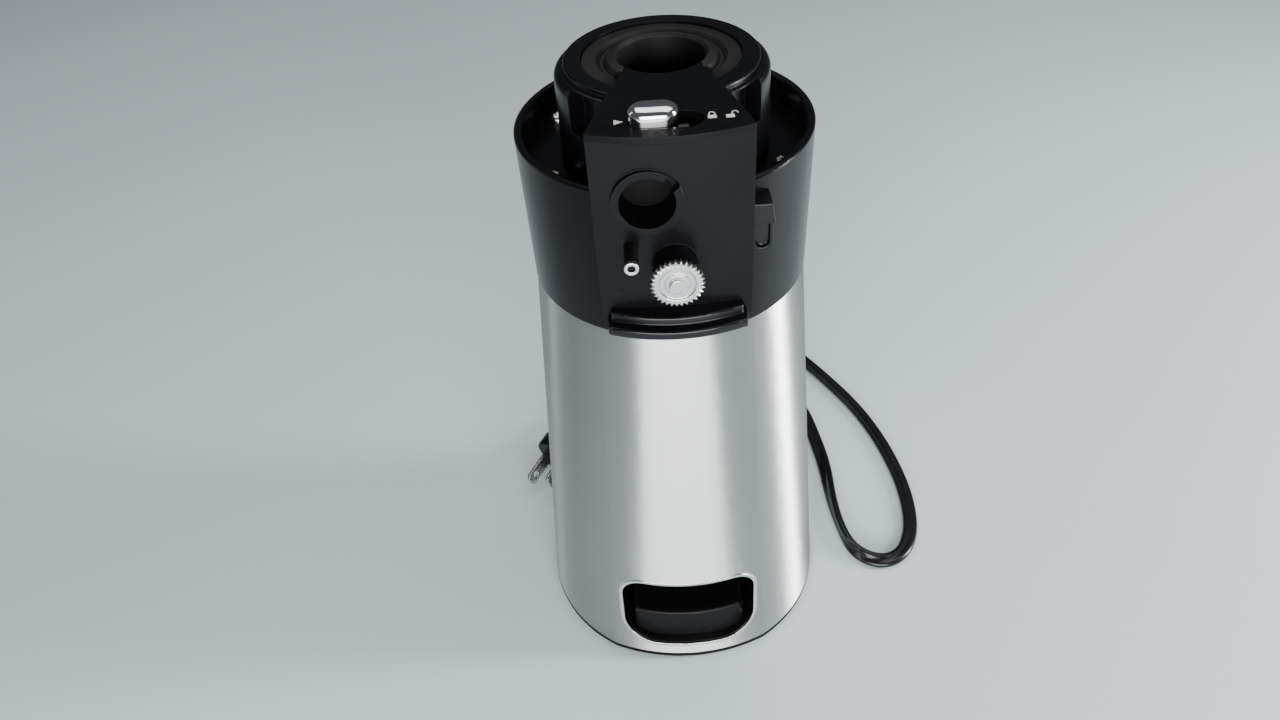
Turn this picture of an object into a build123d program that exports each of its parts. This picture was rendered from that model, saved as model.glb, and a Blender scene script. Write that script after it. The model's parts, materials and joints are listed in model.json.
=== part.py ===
"""Tall electric can opener, in millimetres.

+Z is up, the floor is z = 0 and the front of the opener, with its drive wheel, faces -Y.
The origin is below the middle of the opener: the upright axis of the head passes through it.
"""

import os
from math import acos, cos, pi, radians, sin, sqrt, tan

from build123d import *

os.makedirs("parts", exist_ok=True)

# ---- Driving dimensions ------------------------------------------------------------------

# Base and steel sleeve
SIDE_RADIUS = 60.0  # plan radius of the sides and back at the floor
SIDE_CENTRE_Y = 2.3
FRONT_RADIUS = 75.2  # the flatter front arc
FRONT_Y = -55.6
GROUND_GAP = 1.0  # the feet hold the base this far off the floor
BASE_TOP = 3.2  # where the sleeve stands on the base's rim
SLEEVE_TOP = 172.0
SLEEVE_TOP_RADIUS = 48.3
SLEEVE_TOP_CORNER = 25.8  # half the width of the front arc at the sleeve's top
SHEET = 0.6

# Head
COLLAR_CENTRE_Y = 4.5
COLLAR_FOOT_RADIUS = 48.7
COLLAR_RIM_RADIUS = 49.5
COLLAR_TOP = 226.0
COLLAR_WALL = 2.6
COLLAR_TONGUE_RADIUS = 47.4
DECK_TOP = 217.0
DECK_THICKNESS = 3.0
TOWER_RADIUS = 33.9
TOWER_SHOULDER = 247.6
SHOULDER_ROUND = 3.0
TOP_RADIUS = 30.8
HEAD_TOP = 249.4
WALL = 2.3
LID = 2.6
BLOCK_BOTTOM = 184.0
BLOCK_BACK_HALF = 17.7  # half widths of the front block, at its back and at its front
BLOCK_BACK_Y = -27.0
BLOCK_FRONT_HALF = 23.7
BLOCK_CORNER_Y = -48.6
PANEL_Y = -50.4  # the flat-fronted panel, at its middle
BROW_Y = -53.4  # the front edge of the lid over it
BROW_DEPTH = 2.2
NOTCH_FLOOR = 234.0  # the notches between the block and the tower's shoulder

# Jar opener in the top
JAR_RADIUS = 25.2
JAR_RINGS = [  # radius and height of the insert's top, from its rim in to its hole
    (25.0, 248.6),
    (20.6, 248.9),
    (19.2, 247.4),
    (18.2, 247.4),
    (17.0, 249.1),
    (14.8, 249.9),
    (13.9, 249.0),
]
JAR_FLANGE_FOOT = 239.4
JAR_HOLE_RADIUS = 13.9
JAR_HOLE_FLOOR = 226.0
TONGUE_INNER = (11.2, -8.2)  # corners of the flat tongue that leaves the insert C-shaped
TONGUE_OUTER = (15.6, -21.0)

# Opening for the cutting lever, locating post, can rest
KEYHOLE = (-7.4, 227.3)
KEYHOLE_RADIUS = 8.3
KEY_NOTCH = radians(40)
SOCKET_BACK_Y = -37.0
SOCKET_WALL = 1.5
POST = (-13.1, 212.0)
POST_RADIUS = 2.1
POST_TIP_Y = -61.0
REST_FOOT = 183.7
LIP_TOP = 186.7
LIP_HALF = 21.8
LIP_CORNER_Y = -55.4
LIP_FRONT_Y = -60.0
REST_TOP = 189.4
REST_SET_BACK = 3.6  # how far the upper step stands behind the lip

# Drive wheel and its spindle
WHEEL_Z = 205.5
BUSH_RADIUS = 5.0
WHEEL_RADIUS = 8.25
WHEEL_TEETH = 31
WHEEL_FRONT_Y = -61.2
WHEEL_THICKNESS = 2.2
SPINDLE_TIP_Y = -62.3
SPINDLE_RADIUS = 3.0
SPINDLE_NECK_RADIUS = 2.5
BOSS_RADIUS = 7.15
BOSS_FRONT_Y = -58.8
RUNNING = 0.04  # radial clearance of a shaft in its bush

# Gear train: teeth, module and face of each pair, from the wheel down to the motor
OUTPUT_PAIR = {"gear": 48, "pinion": 12, "module": 1.0, "front": -22.5, "width": 5.0}
MIDDLE_PAIR = {"gear": 48, "pinion": 12, "module": 0.8, "front": -16.0, "width": 4.0}
MOTOR_PAIR = {"gear": 60, "pinion": 12, "module": 0.6, "front": -10.5, "width": 3.0}
SECOND_GEAR_LEAN = 24.0  # degrees from straight down, seen from the front
FIRST_GEAR_LEAN = -30.0
PRESSURE_ANGLE = radians(20)
FRONT_PLATE_Y = -26.5
REAR_PLATE_Y = -4.5
PLATE = 1.5
AXLE_RADIUS = 1.5
GEAR_RELIEF = 26.0  # hollow in the tower's wall, for the output gear
GEAR_BOSSES = [(11, 218), (-14.5, 188), (14.5, 188)]
SPACERS = [(-23, 184), (24, 150), (-23, 126), (23, 126)]

# Motor
STACK_FRONT_Y = 4.0
STACK_DEPTH = 18.0
STACK_HALF = 24.0
STACK_ABOVE = 17.0
STACK_BELOW = 39.0
ROTOR_RADIUS = 12.2
ROTOR_GAP = 0.4
ROTOR_SHAFT_RADIUS = 1.6
MOTOR_SCREW_X = 19.5
BRACKET_GAP = 4.0
BRACKET = 2.5
FAN_RADIUS = 20.0
FAN_BLADES = 9
FAN_FRONT_Y = 31.5

# Storage pocket low in the front
POCKET_HALF = 27.3
POCKET_BOTTOM = 10.0
POCKET_TOP = 47.6
POCKET_BACK_Y = -8.0
POCKET_TOP_CORNER = 9.0
POCKET_BOTTOM_CORNER = 14.0
RIM_WIDTH = 1.2
TOOL_TOP = 25.2
TOOL_SET_BACK = 3.6
TOOL_HALF = 23.0
TOOL_GAP = 0.5
TRIM_PROUD = 0.5
TRIM_DEEP = 0.9

# Release button in the lid
BUTTON_LENGTH = 14.3
BUTTON_WIDTH = 9.2
BUTTON_X = -4.3
BUTTON_Y = -43.4
BUTTON_TOP = 254.4
BUTTON_TRAVEL = 6.8
SLOT_GAP = 0.3
SLOT_LENGTH = BUTTON_LENGTH + BUTTON_TRAVEL + 2 * SLOT_GAP
SLOT_X = BUTTON_X + BUTTON_TRAVEL / 2

# Posts and screws that hold the deck down to the base
POST_PLACES = [(-36.2, -16.2), (36.2, -16.2), (-36.2, 24.0), (36.2, 24.0)]
SUPPORT_RADIUS = 3.4

# Latch under the lid, and its spring
LATCH_TOP = 245.6
LATCH_SPRING_X = -16.8

# Switch in the front block
SWITCH_X = -13.0
SWITCH_Y = -38.0
SWITCH_BOTTOM = 195.0
SWITCH_WIDTH = 8.0
SWITCH_HEIGHT = 11.0
PLUNGER_RADIUS = 1.6
PLUNGER_FOOT = 203.0
PLUNGER_TOP = 213.4

# Bottle-cap lifter on the right of the block
LIFTER_X = 27.0
LIFTER_TOP = 220.2
LIFTER_FRONT_Y = -44.0

# Feet and small fixings under the base
UPSTAND = 5.0  # rim inside the sleeve's foot
POST_FOOT = 5.2  # where the posts stand in the base's bosses
SCREW_SEAT = 3.6
FOOT_RADIUS = 7.0
FOOT_PLACES = [(-38, -28), (38, -28), (-34, 38), (34, 38)]

# Cord
CORD_WIDTH = 6.8
CORD_LIE = CORD_WIDTH / 2
GLAND_X = 16.0
GLAND_Z = 9.0
GLAND_HOLE = 5.0
GLAND_MOUTH_Y = 84.0
PLUG_FACE = Vector(-61.1, 56.6, 11.6)
PLUG_TOWARDS = Vector(-0.49, -0.865, -0.1)
PLUG_ROLL = 19.0
PLUG_SECTION = (18, 21)
PLUG_LENGTH = 27.0
PLUG_NECK = 10.0


# ---- Shared shapes -----------------------------------------------------------------------


def save(piece, name):
    """Label one finished piece and write its file."""
    piece.part.label = name
    export_step(piece.part, f"parts/{name}.step")


def rod(x, z, radius, front, rear, mode=Mode.ADD):
    """A cylinder along Y, between two depths."""
    with Locations((x, (front + rear) / 2, z)):
        Cylinder(radius, rear - front, rotation=(90, 0, 0), mode=mode)


def facing_front(y):
    """A plane at depth y: its x is X, its y is Z, and it extrudes towards the front."""
    return Plane((0, y, 0), x_dir=(1, 0, 0), z_dir=(0, -1, 0))


def base_outline(z, inset):
    """The plan of the base: a flatter arc in front, a circle for the sides and back."""
    side = SIDE_RADIUS - inset
    front = FRONT_RADIUS - inset
    front_centre_y = FRONT_Y + FRONT_RADIUS
    gap = front_centre_y - SIDE_CENTRE_Y
    corner_y = (side**2 - front**2 + front_centre_y**2 - SIDE_CENTRE_Y**2) / (2 * gap)
    corner_x = sqrt(side**2 - (corner_y - SIDE_CENTRE_Y) ** 2)
    with BuildSketch(Plane.XY.offset(z)) as outline:
        with BuildLine():
            ThreePointArc((-corner_x, corner_y), (0, FRONT_Y + inset), (corner_x, corner_y))
            ThreePointArc((corner_x, corner_y), (0, SIDE_CENTRE_Y + side), (-corner_x, corner_y))
        make_face()
    return outline.sketch


def sleeve_top_outline(z, inset):
    """The round plan at the sleeve's top, in two arcs that match those of the base."""
    radius = SLEEVE_TOP_RADIUS - inset
    corner_x = SLEEVE_TOP_CORNER * radius / SLEEVE_TOP_RADIUS
    corner_y = COLLAR_CENTRE_Y - sqrt(radius**2 - corner_x**2)
    with BuildSketch(Plane.XY.offset(z)) as outline:
        with BuildLine():
            ThreePointArc((-corner_x, corner_y), (0, COLLAR_CENTRE_Y - radius), (corner_x, corner_y))
            ThreePointArc((corner_x, corner_y), (0, COLLAR_CENTRE_Y + radius), (-corner_x, corner_y))
        make_face()
    return outline.sketch


def sleeve_body(inset):
    """The sleeve as a solid, its faces moved in by an inset."""
    with BuildPart() as body:
        loft([base_outline(BASE_TOP, inset), sleeve_top_outline(SLEEVE_TOP, inset)], ruled=True)
    return body.part


def block_outline(z, inset, front_y, back_y=BLOCK_BACK_Y):
    """The plan of the head's front block, which widens towards its curved front."""
    slope = (BLOCK_FRONT_HALF - BLOCK_BACK_HALF) / (BLOCK_BACK_Y - BLOCK_CORNER_Y)
    corner_y = BLOCK_CORNER_Y + inset
    front_half = BLOCK_BACK_HALF + slope * (BLOCK_BACK_Y - corner_y) - inset
    back_half = BLOCK_BACK_HALF + slope * (BLOCK_BACK_Y - back_y) - inset
    with BuildSketch(Plane.XY.offset(z)) as outline:
        with BuildLine():
            ThreePointArc((-front_half, corner_y), (0, front_y + inset), (front_half, corner_y))
            Polyline(
                (front_half, corner_y), (back_half, back_y), (-back_half, back_y), (-front_half, corner_y)
            )
        make_face()
    return outline.sketch


def pocket_outline(y, grow):
    """The pocket's mouth seen from the front, with tighter corners at its top."""
    half = POCKET_HALF + grow
    bottom = POCKET_BOTTOM - grow
    top = POCKET_TOP + grow
    with BuildSketch(facing_front(y)) as outline:
        with Locations((0, (bottom + top) / 2)):
            Rectangle(2 * half, top - bottom)
        fillet(outline.vertices().sort_by(Axis.Y)[:2], POCKET_BOTTOM_CORNER + grow)
        fillet(outline.vertices().sort_by(Axis.Y)[-2:], POCKET_TOP_CORNER + grow)
    return outline.sketch


def slot_outline(z, length, width, x):
    """A round-ended slot in the lid, in line with the button."""
    with BuildSketch(Plane.XY.offset(z)) as outline:
        with Locations((x, BUTTON_Y)):
            SlotOverall(length, width)
    return outline.sketch


def involute(angle):
    """How far an involute has turned at a pressure angle."""
    return tan(angle) - angle


def toothed(teeth, module, addendum, tooth_at, x, z, rear, width):
    """Add a spur gear with involute teeth; one tooth points at tooth_at degrees."""
    pitch = teeth * module / 2
    base = pitch * cos(PRESSURE_ANGLE)
    tip = pitch + addendum * module
    root = pitch - 1.2 * module
    half_tooth = (pi / 2 - 0.2) * module / (2 * pitch)
    radii = [base + (tip - base) * step / 4 for step in range(5)]
    flank = [(r, half_tooth + involute(PRESSURE_ANGLE) - involute(acos(base / r))) for r in radii]
    flank.insert(0, (min(root, base) - 0.3 * module, flank[0][1]))
    left = [(r * cos(a), r * sin(a)) for r, a in flank]
    right = [(r * cos(a), -r * sin(a)) for r, a in reversed(flank)]
    with BuildSketch(Plane((x, rear, z), x_dir=(1, 0, 0), z_dir=(0, -1, 0))) as profile:
        Circle(root)
        with PolarLocations(0, teeth, start_angle=tooth_at):
            Polygon(*left, *right, align=None)
    extrude(profile.sketch, amount=width)


def screw(under_head, head_radius, shank_radius, length):
    """A cross-slotted pan-head screw; the plane lies under its head and faces out."""
    head = 0.8 * head_radius
    with Locations(under_head):
        with Locations((0, 0, head / 2)):
            Cylinder(head_radius, head)
        with Locations((0, 0, -length / 2)):
            Cylinder(shank_radius, length)
        with Locations((0, 0, head)):
            Box(1.4 * head_radius, 0.3 * head_radius, head, mode=Mode.SUBTRACT)
            Box(0.3 * head_radius, 1.4 * head_radius, head, mode=Mode.SUBTRACT)


def placed(places, z):
    """The same height over each of some places in plan."""
    return Locations(*[(x, y, z) for x, y in places])


def below(centre, distance, lean):
    """The point a distance below a centre, in X and Z, leaning by some degrees."""
    return (centre[0] + distance * sin(radians(lean)), centre[1] - distance * cos(radians(lean)))


def centres(pair):
    """How far apart the centres of a gear and its pinion are."""
    return (pair["gear"] + pair["pinion"]) * pair["module"] / 2


def direction(start, end):
    """The angle from one centre to another, in degrees, seen from the front."""
    span = Vector(end[0] - start[0], end[1] - start[1], 0)
    turn = Vector(1, 0, 0).get_angle(span)
    return turn if span.Y > 0 else -turn


# ---- Base --------------------------------------------------------------------------------

with BuildPart() as base_plate:
    extrude(base_outline(GROUND_GAP, 0.0), amount=BASE_TOP - GROUND_GAP)
    extrude(base_outline(BASE_TOP, SHEET + 0.4), amount=UPSTAND)
    extrude(base_outline(BASE_TOP, SHEET + 2.4), amount=UPSTAND, mode=Mode.SUBTRACT)
    with placed(POST_PLACES, (BASE_TOP + POST_FOOT + 5) / 2):
        Cylinder(SUPPORT_RADIUS + 2, POST_FOOT + 5 - BASE_TOP)
    with placed(POST_PLACES, POST_FOOT + 2.5):
        Cylinder(SUPPORT_RADIUS + 0.05, 5, mode=Mode.SUBTRACT)
    with placed(POST_PLACES, POST_FOOT):
        Cylinder(1.7, 8, mode=Mode.SUBTRACT)
    with placed(POST_PLACES, (GROUND_GAP + SCREW_SEAT) / 2):
        Cylinder(3.5, SCREW_SEAT - GROUND_GAP, mode=Mode.SUBTRACT)
    with placed(FOOT_PLACES, GROUND_GAP + 0.5):
        Cylinder(FOOT_RADIUS + 0.05, 1.0, mode=Mode.SUBTRACT)
    rod(GLAND_X, GLAND_Z, GLAND_HOLE, 40, 70, mode=Mode.SUBTRACT)
save(base_plate, "base_plate")

with BuildPart() as rubber_feet:
    with placed(FOOT_PLACES, 1.0):
        Cylinder(FOOT_RADIUS, 2.0)
    chamfer(rubber_feet.edges().group_by(Axis.Z)[0], 0.4)
save(rubber_feet, "rubber_feet")

with BuildPart() as base_screws:
    for x, y in POST_PLACES:
        screw(Plane((x, y, SCREW_SEAT), x_dir=(1, 0, 0), z_dir=(0, 0, -1)), 2.9, 1.5, 10)
save(base_screws, "base_screws")

with BuildPart() as support_posts:
    with placed(POST_PLACES, (POST_FOOT + DECK_TOP - DECK_THICKNESS) / 2):
        Cylinder(SUPPORT_RADIUS, DECK_TOP - DECK_THICKNESS - POST_FOOT)
    with placed(POST_PLACES, POST_FOOT):
        Cylinder(1.52, 24, mode=Mode.SUBTRACT)
    with placed(POST_PLACES, DECK_TOP - DECK_THICKNESS):
        Cylinder(1.52, 24, mode=Mode.SUBTRACT)
save(support_posts, "support_posts")

# ---- Steel sleeve and storage pocket -----------------------------------------------------

with BuildPart() as steel_sleeve:
    add(sleeve_body(0))
    add(sleeve_body(SHEET), mode=Mode.SUBTRACT)
    extrude(pocket_outline(-40, RIM_WIDTH + 0.05), amount=30, mode=Mode.SUBTRACT)
    rod(GLAND_X, GLAND_Z, GLAND_HOLE, 40, 70, mode=Mode.SUBTRACT)
save(steel_sleeve, "steel_sleeve")

with BuildPart() as pocket_trim:
    extrude(pocket_outline(-40, RIM_WIDTH), amount=30)
    extrude(pocket_outline(-40, 0), amount=30, mode=Mode.SUBTRACT)
    add(sleeve_body(-TRIM_PROUD), mode=Mode.INTERSECT)
    add(sleeve_body(TRIM_DEEP), mode=Mode.SUBTRACT)
save(pocket_trim, "pocket_trim")

with BuildPart() as storage_pocket:
    extrude(pocket_outline(POCKET_BACK_Y, RIM_WIDTH), amount=60)
    extrude(pocket_outline(POCKET_BACK_Y - 1.6, 0), amount=60, mode=Mode.SUBTRACT)
    add(sleeve_body(TRIM_DEEP + 0.02), mode=Mode.INTERSECT)
save(storage_pocket, "storage_pocket")

with BuildPart() as hand_tool:
    extrude(pocket_outline(POCKET_BACK_Y - 3.6, -TOOL_GAP), amount=60)
    with Locations((0, -30, TOOL_TOP + 20)):
        Box(100, 100, 40, mode=Mode.SUBTRACT)
    add(sleeve_body(TOOL_SET_BACK), mode=Mode.INTERSECT)
    with Locations((0, -30, TOOL_TOP / 2)):
        Box(2 * TOOL_HALF, 100, TOOL_TOP, mode=Mode.INTERSECT)
    fillet(hand_tool.edges().filter_by(Axis.Z), 2.5)
    fillet(hand_tool.edges().group_by(Axis.Z)[-1], 1.2)
    with Locations((0, -27, TOOL_TOP)):
        Box(34, 18, 12, mode=Mode.SUBTRACT)
save(hand_tool, "hand_tool")

# ---- Head --------------------------------------------------------------------------------

with BuildPart() as head_collar:
    with BuildSketch(Plane.XZ.offset(-COLLAR_CENTRE_Y)):
        with BuildLine():
            Polyline(
                (0, DECK_TOP),
                (COLLAR_RIM_RADIUS - COLLAR_WALL - 0.3, DECK_TOP),
                (COLLAR_RIM_RADIUS - COLLAR_WALL, COLLAR_TOP),
                (COLLAR_RIM_RADIUS, COLLAR_TOP),
                (COLLAR_FOOT_RADIUS, SLEEVE_TOP),
                (COLLAR_TONGUE_RADIUS, SLEEVE_TOP),
                (COLLAR_TONGUE_RADIUS, SLEEVE_TOP - 7),
                (COLLAR_TONGUE_RADIUS - 2, SLEEVE_TOP - 7),
                (COLLAR_TONGUE_RADIUS - 2, DECK_TOP - DECK_THICKNESS),
                (0, DECK_TOP - DECK_THICKNESS),
                close=True,
            )
        make_face()
    revolve(axis=Axis((0, COLLAR_CENTRE_Y, 0), (0, 0, 1)))
    fillet(head_collar.edges().group_by(Axis.Z)[-1], 0.9)
    with Locations((0, 0, DECK_TOP)):
        Cylinder(TOWER_RADIUS + 0.1, 20, mode=Mode.SUBTRACT)
    with placed(POST_PLACES, DECK_TOP):
        Cylinder(1.8, 12, mode=Mode.SUBTRACT)
    extrude(block_outline(BLOCK_BOTTOM - 0.1, -0.1, PANEL_Y), amount=60, mode=Mode.SUBTRACT)
save(head_collar, "head_collar")

with BuildPart() as deck_screws:
    for x, y in POST_PLACES:
        screw(Plane((x, y, DECK_TOP), x_dir=(1, 0, 0), z_dir=(0, 0, 1)), 2.7, 1.5, 14)
save(deck_screws, "deck_screws")


def side_notches(inner_radius, outer_radius, bottom, top, side_y, block_inset):
    """A sector on each side of the front block, clear of the block itself."""
    with BuildPart() as sectors:
        with BuildSketch(Plane.XY.offset(bottom)):
            Circle(outer_radius)
            Circle(inner_radius, mode=Mode.SUBTRACT)
            Polygon((0, 0), (50, side_y), (50, -90), (10, -90), align=None, mode=Mode.INTERSECT)
        extrude(amount=top - bottom)
        middle = block_outline(bottom - 1, block_inset, PANEL_Y, -2)
        extrude(middle, amount=top - bottom + 2, mode=Mode.SUBTRACT)
        mirror(about=Plane.YZ)
    return sectors.part


def jar_recess(bottom, top, gap):
    """The C-shaped place of the jar opener: a round recess less the flat tongue in front."""
    with BuildPart() as recess:
        with BuildSketch(Plane.XY.offset(bottom)):
            Circle(JAR_RADIUS)
            with BuildLine():
                Polyline(
                    (-TONGUE_INNER[0] - gap, TONGUE_INNER[1] + gap),
                    (TONGUE_INNER[0] + gap, TONGUE_INNER[1] + gap),
                    (TONGUE_OUTER[0] + gap, TONGUE_OUTER[1]),
                    (TONGUE_OUTER[0] + gap, -30),
                    (-TONGUE_OUTER[0] - gap, -30),
                    (-TONGUE_OUTER[0] - gap, TONGUE_OUTER[1]),
                    close=True,
                )
            make_face(mode=Mode.SUBTRACT)
            Circle(JAR_HOLE_RADIUS)
        extrude(amount=top - bottom)
    return recess.part


with BuildPart() as head_housing:
    with Locations((0, 0, (DECK_TOP - 7 + TOWER_SHOULDER) / 2)):
        Cylinder(TOWER_RADIUS, TOWER_SHOULDER - DECK_TOP + 7)
    fillet(head_housing.edges().group_by(Axis.Z)[-1], SHOULDER_ROUND)
    with Locations((0, 0, (TOWER_SHOULDER - 2 + HEAD_TOP) / 2)):
        Cylinder(TOP_RADIUS, HEAD_TOP - TOWER_SHOULDER + 2)
    fillet(head_housing.edges().group_by(Axis.Z)[-1], 0.8)
    extrude(block_outline(BLOCK_BOTTOM, 0, PANEL_Y, -34), amount=34)
    extrude(block_outline(DECK_TOP - 7, 0, PANEL_Y, -12), amount=HEAD_TOP - BROW_DEPTH - DECK_TOP + 7)
    extrude(block_outline(HEAD_TOP - BROW_DEPTH, 0, BROW_Y, -20), amount=BROW_DEPTH)
    # The hollow: the tower, its raised top and the front block are open to each other and below
    with Locations((0, 0, TOWER_SHOULDER - 50 - WALL)):
        Cylinder(TOWER_RADIUS - WALL, 100, mode=Mode.SUBTRACT)
    with Locations((0, 0, HEAD_TOP - LID - 10)):
        Cylinder(TOP_RADIUS - WALL, 20, mode=Mode.SUBTRACT)
    extrude(
        block_outline(BLOCK_BOTTOM + WALL, WALL, PANEL_Y, -2),
        amount=HEAD_TOP - LID - BLOCK_BOTTOM - WALL,
        mode=Mode.SUBTRACT,
    )
    rod(0, WHEEL_Z, GEAR_RELIEF, -23.5, -16.5, mode=Mode.SUBTRACT)
    # A notch on each side of the block, where the tower's shoulder stops
    notch_wall = TOP_RADIUS - 2 * WALL
    add(side_notches(notch_wall, TOWER_RADIUS - 0.5, NOTCH_FLOOR - 2, TOWER_SHOULDER - 1, -26, WALL))
    add(
        side_notches(TOP_RADIUS - WALL, TOWER_RADIUS + 4, NOTCH_FLOOR, HEAD_TOP - BROW_DEPTH, -30, 0),
        mode=Mode.SUBTRACT,
    )
    # The jar opener's place in the lid
    add(jar_recess(HEAD_TOP - LID - 1, HEAD_TOP + 1, 0), mode=Mode.SUBTRACT)
    # The release button's slot, and the rail that holds its latch up
    extrude(
        slot_outline(LATCH_TOP - 0.5, SLOT_LENGTH, BUTTON_WIDTH + 2 * SLOT_GAP, SLOT_X),
        amount=HEAD_TOP - LATCH_TOP + 2,
        mode=Mode.SUBTRACT,
    )
    with Locations((0, BUTTON_Y + 5.6, HEAD_TOP - LID - 2.4)):
        Box(34, 1.4, 4.8)
    with Locations((0, BUTTON_Y + 5.1, HEAD_TOP - LID - 4.4)):
        Box(34, 2.4, 0.8)
    # Keyhole for the cutting lever's shank, with a raised rim and a side notch
    rod(*KEYHOLE, KEYHOLE_RADIUS + 2.4, PANEL_Y - 0.9, -46.5)
    rod(*KEYHOLE, KEYHOLE_RADIUS + SOCKET_WALL + 0.05, -48.0, -40, mode=Mode.SUBTRACT)
    rod(*KEYHOLE, KEYHOLE_RADIUS, PANEL_Y - 5, -40, mode=Mode.SUBTRACT)
    notch_x = (cos(KEY_NOTCH), 0, sin(KEY_NOTCH))
    with Locations(Plane((KEYHOLE[0], PANEL_Y, KEYHOLE[1]), x_dir=notch_x, z_dir=(0, -1, 0))):
        with Locations((KEYHOLE_RADIUS, 0, 0)):
            Box(5, 4.4, 5, mode=Mode.SUBTRACT)
    # Boss round the spindle's front bush, and the locating post's seat
    rod(0, WHEEL_Z, BOSS_RADIUS, BOSS_FRONT_Y, -46)
    rod(0, WHEEL_Z, BUSH_RADIUS + 0.02, -70, -40, mode=Mode.SUBTRACT)
    rod(*POST, POST_RADIUS + 1.2, -49.6, -46)
    rod(*POST, POST_RADIUS + 0.02, -60, -46.4, mode=Mode.SUBTRACT)
    # Bosses that the gear case is screwed to, and the switch's shelf
    for x, z in GEAR_BOSSES:
        rod(x, z, 3.5, -49.0, FRONT_PLATE_Y)
        rod(x, z, 1.52, FRONT_PLATE_Y - 12, FRONT_PLATE_Y, mode=Mode.SUBTRACT)
    with Locations((SWITCH_X - 1, -41, SWITCH_BOTTOM - 1)):
        Box(SWITCH_WIDTH + 2, 17, 2)
save(head_housing, "head_housing")

def under_lid():
    """What the lid and its tongue take up at the top of the jar opener."""
    with BuildPart() as taken:
        with Locations((0, 0, HEAD_TOP - LID / 2 + 1)):
            Cylinder(JAR_RADIUS + 1, LID + 2.1)
        add(jar_recess(HEAD_TOP - LID - 1, HEAD_TOP + 3, 0.1), mode=Mode.SUBTRACT)
    return taken.part


def front_slopes():
    """Wedges that let the insert's two front ends fall away beside the tongue."""
    inner, outer = Vector(*TONGUE_INNER, HEAD_TOP), Vector(*TONGUE_OUTER, HEAD_TOP)
    middle = (inner + outer) / 2
    along = outer - inner
    with BuildPart() as wedges:
        with BuildSketch(Plane(middle - along.normalized() * 4, x_dir=(1, 0, 0), z_dir=along)) as profile:
            Polygon((-3, -3.4), (0.5, -3.4), (8, 0.8), (-3, 0.8), align=None)
        extrude(profile.sketch, amount=20)
        mirror(about=Plane.YZ)
    return wedges.part


with BuildPart() as jar_opener_insert:
    with BuildSketch(Plane.XZ):
        with BuildLine():
            Polyline(
                (0, JAR_HOLE_FLOOR - 2),
                (JAR_HOLE_RADIUS + 2, JAR_HOLE_FLOOR - 2),
                (JAR_HOLE_RADIUS + 2, JAR_FLANGE_FOOT),
                (JAR_RINGS[0][0], JAR_FLANGE_FOOT),
                *JAR_RINGS,
                (JAR_HOLE_RADIUS, JAR_HOLE_FLOOR),
                (0, JAR_HOLE_FLOOR),
                close=True,
            )
        make_face()
    revolve(axis=Axis.Z)
    add(under_lid(), mode=Mode.SUBTRACT)
    add(front_slopes(), mode=Mode.SUBTRACT)
save(jar_opener_insert, "jar_opener_insert")

def rest_step(bottom, top, set_back):
    """One step of the can rest, behind the lip's curved front by a set-back."""
    corner_y = LIP_CORNER_Y + set_back
    half = LIP_HALF - set_back / 3
    with BuildPart() as step:
        with BuildSketch(Plane.XY.offset(bottom)):
            with BuildLine():
                ThreePointArc((-half, corner_y), (0, LIP_FRONT_Y + set_back), (half, corner_y))
                Polyline((half, corner_y), (half, -46), (-half, -46), (-half, corner_y))
            make_face()
        extrude(amount=top - bottom)
        fillet(step.edges().filter_by(Axis.Z).group_by(Axis.Y)[0], 1.2)
        chamfer(step.edges().group_by(Axis.Z)[-1].sort_by(Axis.Y)[0], 0.4)
    return step.part


with BuildPart() as can_rest:
    add(rest_step(REST_FOOT, LIP_TOP, 0))
    add(rest_step(REST_FOOT, REST_TOP, REST_SET_BACK))
    extrude(block_outline(BLOCK_BOTTOM - 1, -0.02, PANEL_Y), amount=10, mode=Mode.SUBTRACT)
save(can_rest, "can_rest")

with BuildPart() as cap_lifter:
    with BuildSketch(facing_front(-30)):
        Polygon(
            (20, LIFTER_TOP - 7),
            (LIFTER_X + 3.8, LIFTER_TOP - 7),
            (LIFTER_X + 2.8, LIFTER_TOP),
            (20, LIFTER_TOP),
            align=None,
        )
    extrude(amount=-30 - LIFTER_FRONT_Y)
    with BuildSketch(facing_front(-30)):
        with Locations((LIFTER_X, LIFTER_TOP - 11.4)):
            SlotOverall(13, 6.8, rotation=90)
    extrude(amount=-31.2 - LIFTER_FRONT_Y)
    with BuildSketch(facing_front(LIFTER_FRONT_Y + 2.8)):
        with Locations((LIFTER_X, LIFTER_TOP - 11)):
            SlotOverall(10.4, 4.4, rotation=90)
    extrude(amount=2, mode=Mode.SUBTRACT)
    extrude(block_outline(190, -0.02, PANEL_Y), amount=45, mode=Mode.SUBTRACT)
    with Locations((0, COLLAR_CENTRE_Y, 210)):
        Cylinder(COLLAR_RIM_RADIUS + 0.05, 60, mode=Mode.SUBTRACT)
save(cap_lifter, "cap_lifter")

with BuildPart() as locating_post:
    rod(*POST, POST_RADIUS, POST_TIP_Y + 1.2, -46.5)
    rod(*POST, 1.1, POST_TIP_Y + 0.5, -50)
save(locating_post, "locating_post")

with BuildPart() as post_ferrule:
    rod(*POST, POST_RADIUS + 0.1, POST_TIP_Y, POST_TIP_Y + 1.2)
    rod(*POST, 1.12, POST_TIP_Y - 1, POST_TIP_Y + 2, mode=Mode.SUBTRACT)
    fillet(post_ferrule.edges().group_by(Axis.Y)[0], 0.3)
save(post_ferrule, "post_ferrule")

with BuildPart() as lever_socket:
    rod(*KEYHOLE, KEYHOLE_RADIUS + SOCKET_WALL, -47.9, SOCKET_BACK_Y)
    rod(*KEYHOLE, KEYHOLE_RADIUS, -60, SOCKET_BACK_Y - SOCKET_WALL, mode=Mode.SUBTRACT)
save(lever_socket, "lever_socket")

# ---- Drive spindle -----------------------------------------------------------------------

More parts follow.
